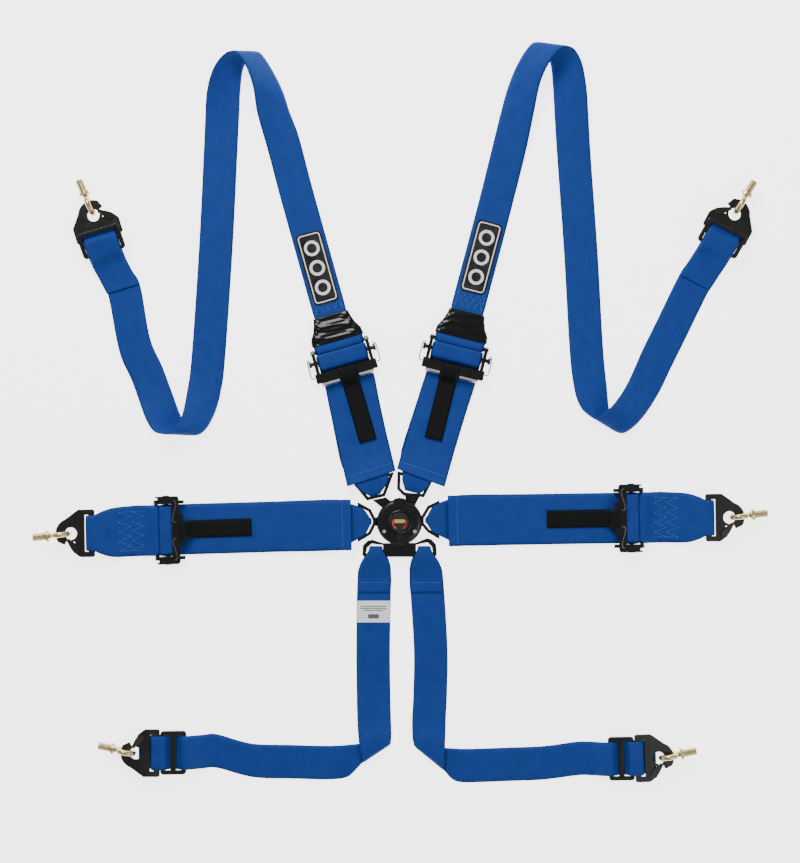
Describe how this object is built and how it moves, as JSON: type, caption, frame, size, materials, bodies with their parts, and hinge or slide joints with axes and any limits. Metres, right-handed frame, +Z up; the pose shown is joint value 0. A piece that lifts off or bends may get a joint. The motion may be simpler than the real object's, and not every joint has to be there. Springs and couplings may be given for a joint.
{
  "type": "racing harness",
  "caption": "Racing harness laid flat: shoulder, lap and crotch straps with adjusters, slides, snap hooks and eye bolts, joined at a rotary cam buckle.",
  "frame": {"origin": "centre of the buckle at the face of its back plate, on the floor", "axes": "+X to the right-hand lap strap, +Y towards the shoulder straps, +Z up out of the floor and out of the buckle knob"},
  "size_m": [1.0803, 1.0931, 0.0455],
  "materials": {
    "strap_webbing": "woven polyester webbing",
    "tab_webbing": "black webbing",
    "zinc_bolt": "yellow zinc plated",
    "cover_vinyl": "gloss sleeve",
    "buckle_coat": "satin black",
    "bright_steel": "zinc plated",
    "phosphate_steel": "satin black",
    "black_steel": "gloss black"
  },
  "bodies": {
    "buckle": {"back_plate": "black_steel", "housing": "buckle_coat", "center_post": "bright_steel", "lap_left_tongue": "black_steel", "lap_left_webbing": "strap_webbing", "lap_left_outer_webbing": "strap_webbing", "lap_left_hook": "phosphate_steel"},
    "knob": {"knob": "buckle_coat", "knob_screws": "bright_steel", "release_cam": "bright_steel", "return_spring": "bright_steel"},
    "pawls": {"latch_pawls": "bright_steel"},
    "shoulder_left_strap": {"shoulder_left_tongue": "black_steel", "shoulder_left_lower_webbing": "strap_webbing", "shoulder_left_end_cover": "cover_vinyl", "shoulder_left_upper_webbing": "strap_webbing", "shoulder_left_slide": "phosphate_steel", "shoulder_left_hook": "phosphate_steel"},
    "shoulder_right_strap": {"shoulder_right_tongue": "black_steel", "shoulder_right_lower_webbing": "strap_webbing", "shoulder_right_end_cover": "cover_vinyl", "shoulder_right_upper_webbing": "strap_webbing", "shoulder_right_slide": "phosphate_steel", "shoulder_right_hook": "phosphate_steel"},
    "lap_right_strap": {"lap_right_tongue": "black_steel", "lap_right_webbing": "strap_webbing", "lap_right_outer_webbing": "strap_webbing", "lap_right_hook": "phosphate_steel"},
    "crotch_strap": {"crotch_tongue": "black_steel", "crotch_webbing": "strap_webbing", "crotch_slides": "phosphate_steel", "crotch_hooks": "phosphate_steel"},
    "shoulder_left_adjuster": {"shoulder_left_adjuster_frame": "black_steel", "shoulder_left_adjuster_springs": "bright_steel", "shoulder_left_pull_tab": "tab_webbing"},
    "shoulder_left_bar": {"shoulder_left_locking_bar": "bright_steel"},
    "shoulder_right_adjuster": {"shoulder_right_adjuster_frame": "black_steel", "shoulder_right_adjuster_springs": "bright_steel", "shoulder_right_pull_tab": "tab_webbing"},
    "shoulder_right_bar": {"shoulder_right_locking_bar": "bright_steel"},
    "lap_left_adjuster": {"lap_left_adjuster_frame": "black_steel", "lap_left_adjuster_springs": "bright_steel", "lap_left_pull_tab": "tab_webbing"},
    "lap_left_bar": {"lap_left_locking_bar": "bright_steel"},
    "lap_right_adjuster": {"lap_right_adjuster_frame": "black_steel", "lap_right_adjuster_springs": "bright_steel", "lap_right_pull_tab": "tab_webbing"},
    "lap_right_bar": {"lap_right_locking_bar": "bright_steel"},
    "shoulder_left_gate": {"shoulder_left_gate": "phosphate_steel"},
    "shoulder_left_eye_bolt": {"shoulder_left_eye_bolt": "zinc_bolt"},
    "shoulder_right_gate": {"shoulder_right_gate": "phosphate_steel"},
    "shoulder_right_eye_bolt": {"shoulder_right_eye_bolt": "zinc_bolt"},
    "lap_left_gate": {"lap_left_gate": "phosphate_steel"},
    "lap_left_eye_bolt": {"lap_left_eye_bolt": "zinc_bolt"},
    "lap_right_gate": {"lap_right_gate": "phosphate_steel"},
    "lap_right_eye_bolt": {"lap_right_eye_bolt": "zinc_bolt"},
    "crotch_left_gate": {"crotch_left_gate": "phosphate_steel"},
    "crotch_left_eye_bolt": {"crotch_left_eye_bolt": "zinc_bolt"},
    "crotch_right_gate": {"crotch_right_gate": "phosphate_steel"},
    "crotch_right_eye_bolt": {"crotch_right_eye_bolt": "zinc_bolt"}
  },
  "joints": [
    {"name": "knob_turn", "type": "hinge", "parent": "buckle", "child": "knob", "pos_m": [0, 0, 0.0125], "axis": [0, 0, 1], "range_deg": [-30, 30], "stiffness_Nm_per_rad": 0.3},
    {"name": "pawl_drop", "type": "slide", "parent": "buckle", "child": "pawls", "axis": [0, 0, 1], "range_m": [-0.003, 0], "stiffness_N_per_m": 400},
    {"name": "shoulder_left_release", "type": "slide", "parent": "buckle", "child": "shoulder_left_strap", "axis": [-0.6018, 0.7986, 0], "range_m": [0, 0.03]},
    {"name": "shoulder_right_release", "type": "slide", "parent": "buckle", "child": "shoulder_right_strap", "axis": [0.5, 0.866, 0], "range_m": [0, 0.03]},
    {"name": "lap_right_release", "type": "slide", "parent": "buckle", "child": "lap_right_strap", "axis": [0.9986, 0.0523, 0], "range_m": [0, 0.03]},
    {"name": "crotch_release", "type": "slide", "parent": "buckle", "child": "crotch_strap", "axis": [0.0175, -0.9998, 0], "range_m": [0, 0.03]},
    {"name": "shoulder_left_adjuster_tilt", "type": "hinge", "parent": "shoulder_left_strap", "child": "shoulder_left_adjuster", "pos_m": [-0.08867, 0.2591, 0.008], "axis": [-0.9613, -0.2756, 0], "range_deg": [0, 35], "deforming": ["shoulder_left_lower_webbing"]},
    {"name": "shoulder_left_bar_slide", "type": "slide", "parent": "shoulder_left_adjuster", "child": "shoulder_left_bar", "axis": [0.2756, -0.9613, 0], "range_m": [0, 0.0025], "stiffness_N_per_m": 300},
    {"name": "shoulder_right_adjuster_tilt", "type": "hinge", "parent": "shoulder_right_strap", "child": "shoulder_right_adjuster", "pos_m": [0.08815, 0.26294, 0.008], "axis": [-0.9703, 0.2419, 0], "range_deg": [0, 35], "deforming": ["shoulder_right_lower_webbing"]},
    {"name": "shoulder_right_bar_slide", "type": "slide", "parent": "shoulder_right_adjuster", "child": "shoulder_right_bar", "axis": [-0.2419, -0.9703, 0], "range_m": [0, 0.0025], "stiffness_N_per_m": 300},
    {"name": "lap_left_adjuster_tilt", "type": "hinge", "parent": "buckle", "child": "lap_left_adjuster", "pos_m": [-0.35809, -0.01291, 0.008], "axis": [0.0332, -0.9995, 0], "range_deg": [0, 35], "deforming": ["lap_left_webbing"]},
    {"name": "lap_left_bar_slide", "type": "slide", "parent": "lap_left_adjuster", "child": "lap_left_bar", "axis": [0.9995, 0.0332, 0], "range_m": [0, 0.0025], "stiffness_N_per_m": 300},
    {"name": "lap_right_adjuster_tilt", "type": "hinge", "parent": "lap_right_strap", "child": "lap_right_adjuster", "pos_m": [0.3571, 0.00577, 0.008], "axis": [-0.0175, 0.9998, 0], "range_deg": [0, 35], "deforming": ["lap_right_webbing"]},
    {"name": "lap_right_bar_slide", "type": "slide", "parent": "lap_right_adjuster", "child": "lap_right_bar", "axis": [-0.9998, -0.0175, 0], "range_m": [0, 0.0025], "stiffness_N_per_m": 300},
    {"name": "shoulder_left_gate_open", "type": "hinge", "parent": "shoulder_left_strap", "child": "shoulder_left_gate", "pos_m": [-0.42403, 0.45001, 0.0165], "axis": [0, 0, 1], "range_deg": [0, 25], "stiffness_Nm_per_rad": 0.05},
    {"name": "shoulder_left_eye_bolt_swing", "type": "hinge", "parent": "shoulder_left_strap", "child": "shoulder_left_eye_bolt", "pos_m": [-0.4509, 0.45409, 0.0165], "axis": [0, 0, 1], "range_deg": [-31, 19]},
    {"name": "shoulder_right_gate_open", "type": "hinge", "parent": "shoulder_right_strap", "child": "shoulder_right_gate", "pos_m": [0.46707, 0.45672, 0.0165], "axis": [0, 0, -1], "range_deg": [0, 25], "stiffness_Nm_per_rad": 0.05},
    {"name": "shoulder_right_eye_bolt_swing", "type": "hinge", "parent": "shoulder_right_strap", "child": "shoulder_right_eye_bolt", "pos_m": [0.49423, 0.45583, 0.0165], "axis": [0, 0, 1], "range_deg": [-21, 29]},
    {"name": "lap_left_gate_open", "type": "hinge", "parent": "buckle", "child": "lap_left_gate", "pos_m": [-0.47457, -0.04136, 0.0165], "axis": [0, 0, -1], "range_deg": [0, 25], "stiffness_Nm_per_rad": 0.05},
    {"name": "lap_left_eye_bolt_swing", "type": "hinge", "parent": "buckle", "child": "lap_left_eye_bolt", "pos_m": [-0.48675, -0.01707, 0.0165], "axis": [0, 0, 1], "range_deg": [-31, 19]},
    {"name": "lap_right_gate_open", "type": "hinge", "parent": "lap_right_strap", "child": "lap_right_gate", "pos_m": [0.47713, -0.01784, 0.0165], "axis": [0, 0, 1], "range_deg": [0, 25], "stiffness_Nm_per_rad": 0.05},
    {"name": "lap_right_eye_bolt_swing", "type": "hinge", "parent": "lap_right_strap", "child": "lap_right_eye_bolt", "pos_m": [0.48845, 0.00686, 0.0165], "axis": [0, 0, 1], "range_deg": [-31, 19]},
    {"name": "crotch_left_gate_open", "type": "hinge", "parent": "crotch_strap", "child": "crotch_left_gate", "pos_m": [-0.3795, -0.3152, 0.0165], "axis": [0, 0, 1], "range_deg": [0, 25], "stiffness_Nm_per_rad": 0.05},
    {"name": "crotch_left_eye_bolt_swing", "type": "hinge", "parent": "crotch_strap", "child": "crotch_left_eye_bolt", "pos_m": [-0.39125, -0.3397, 0.0165], "axis": [0, 0, 1], "range_deg": [-13, 37]},
    {"name": "crotch_right_gate_open", "type": "hinge", "parent": "crotch_strap", "child": "crotch_right_gate", "pos_m": [0.37386, -0.37126, 0.0165], "axis": [0, 0, 1], "range_deg": [0, 25], "stiffness_Nm_per_rad": 0.05},
    {"name": "crotch_right_eye_bolt_swing", "type": "hinge", "parent": "crotch_strap", "child": "crotch_right_eye_bolt", "pos_m": [0.38475, -0.34637, 0.0165], "axis": [0, 0, 1], "range_deg": [-34, 16]}
  ]
}
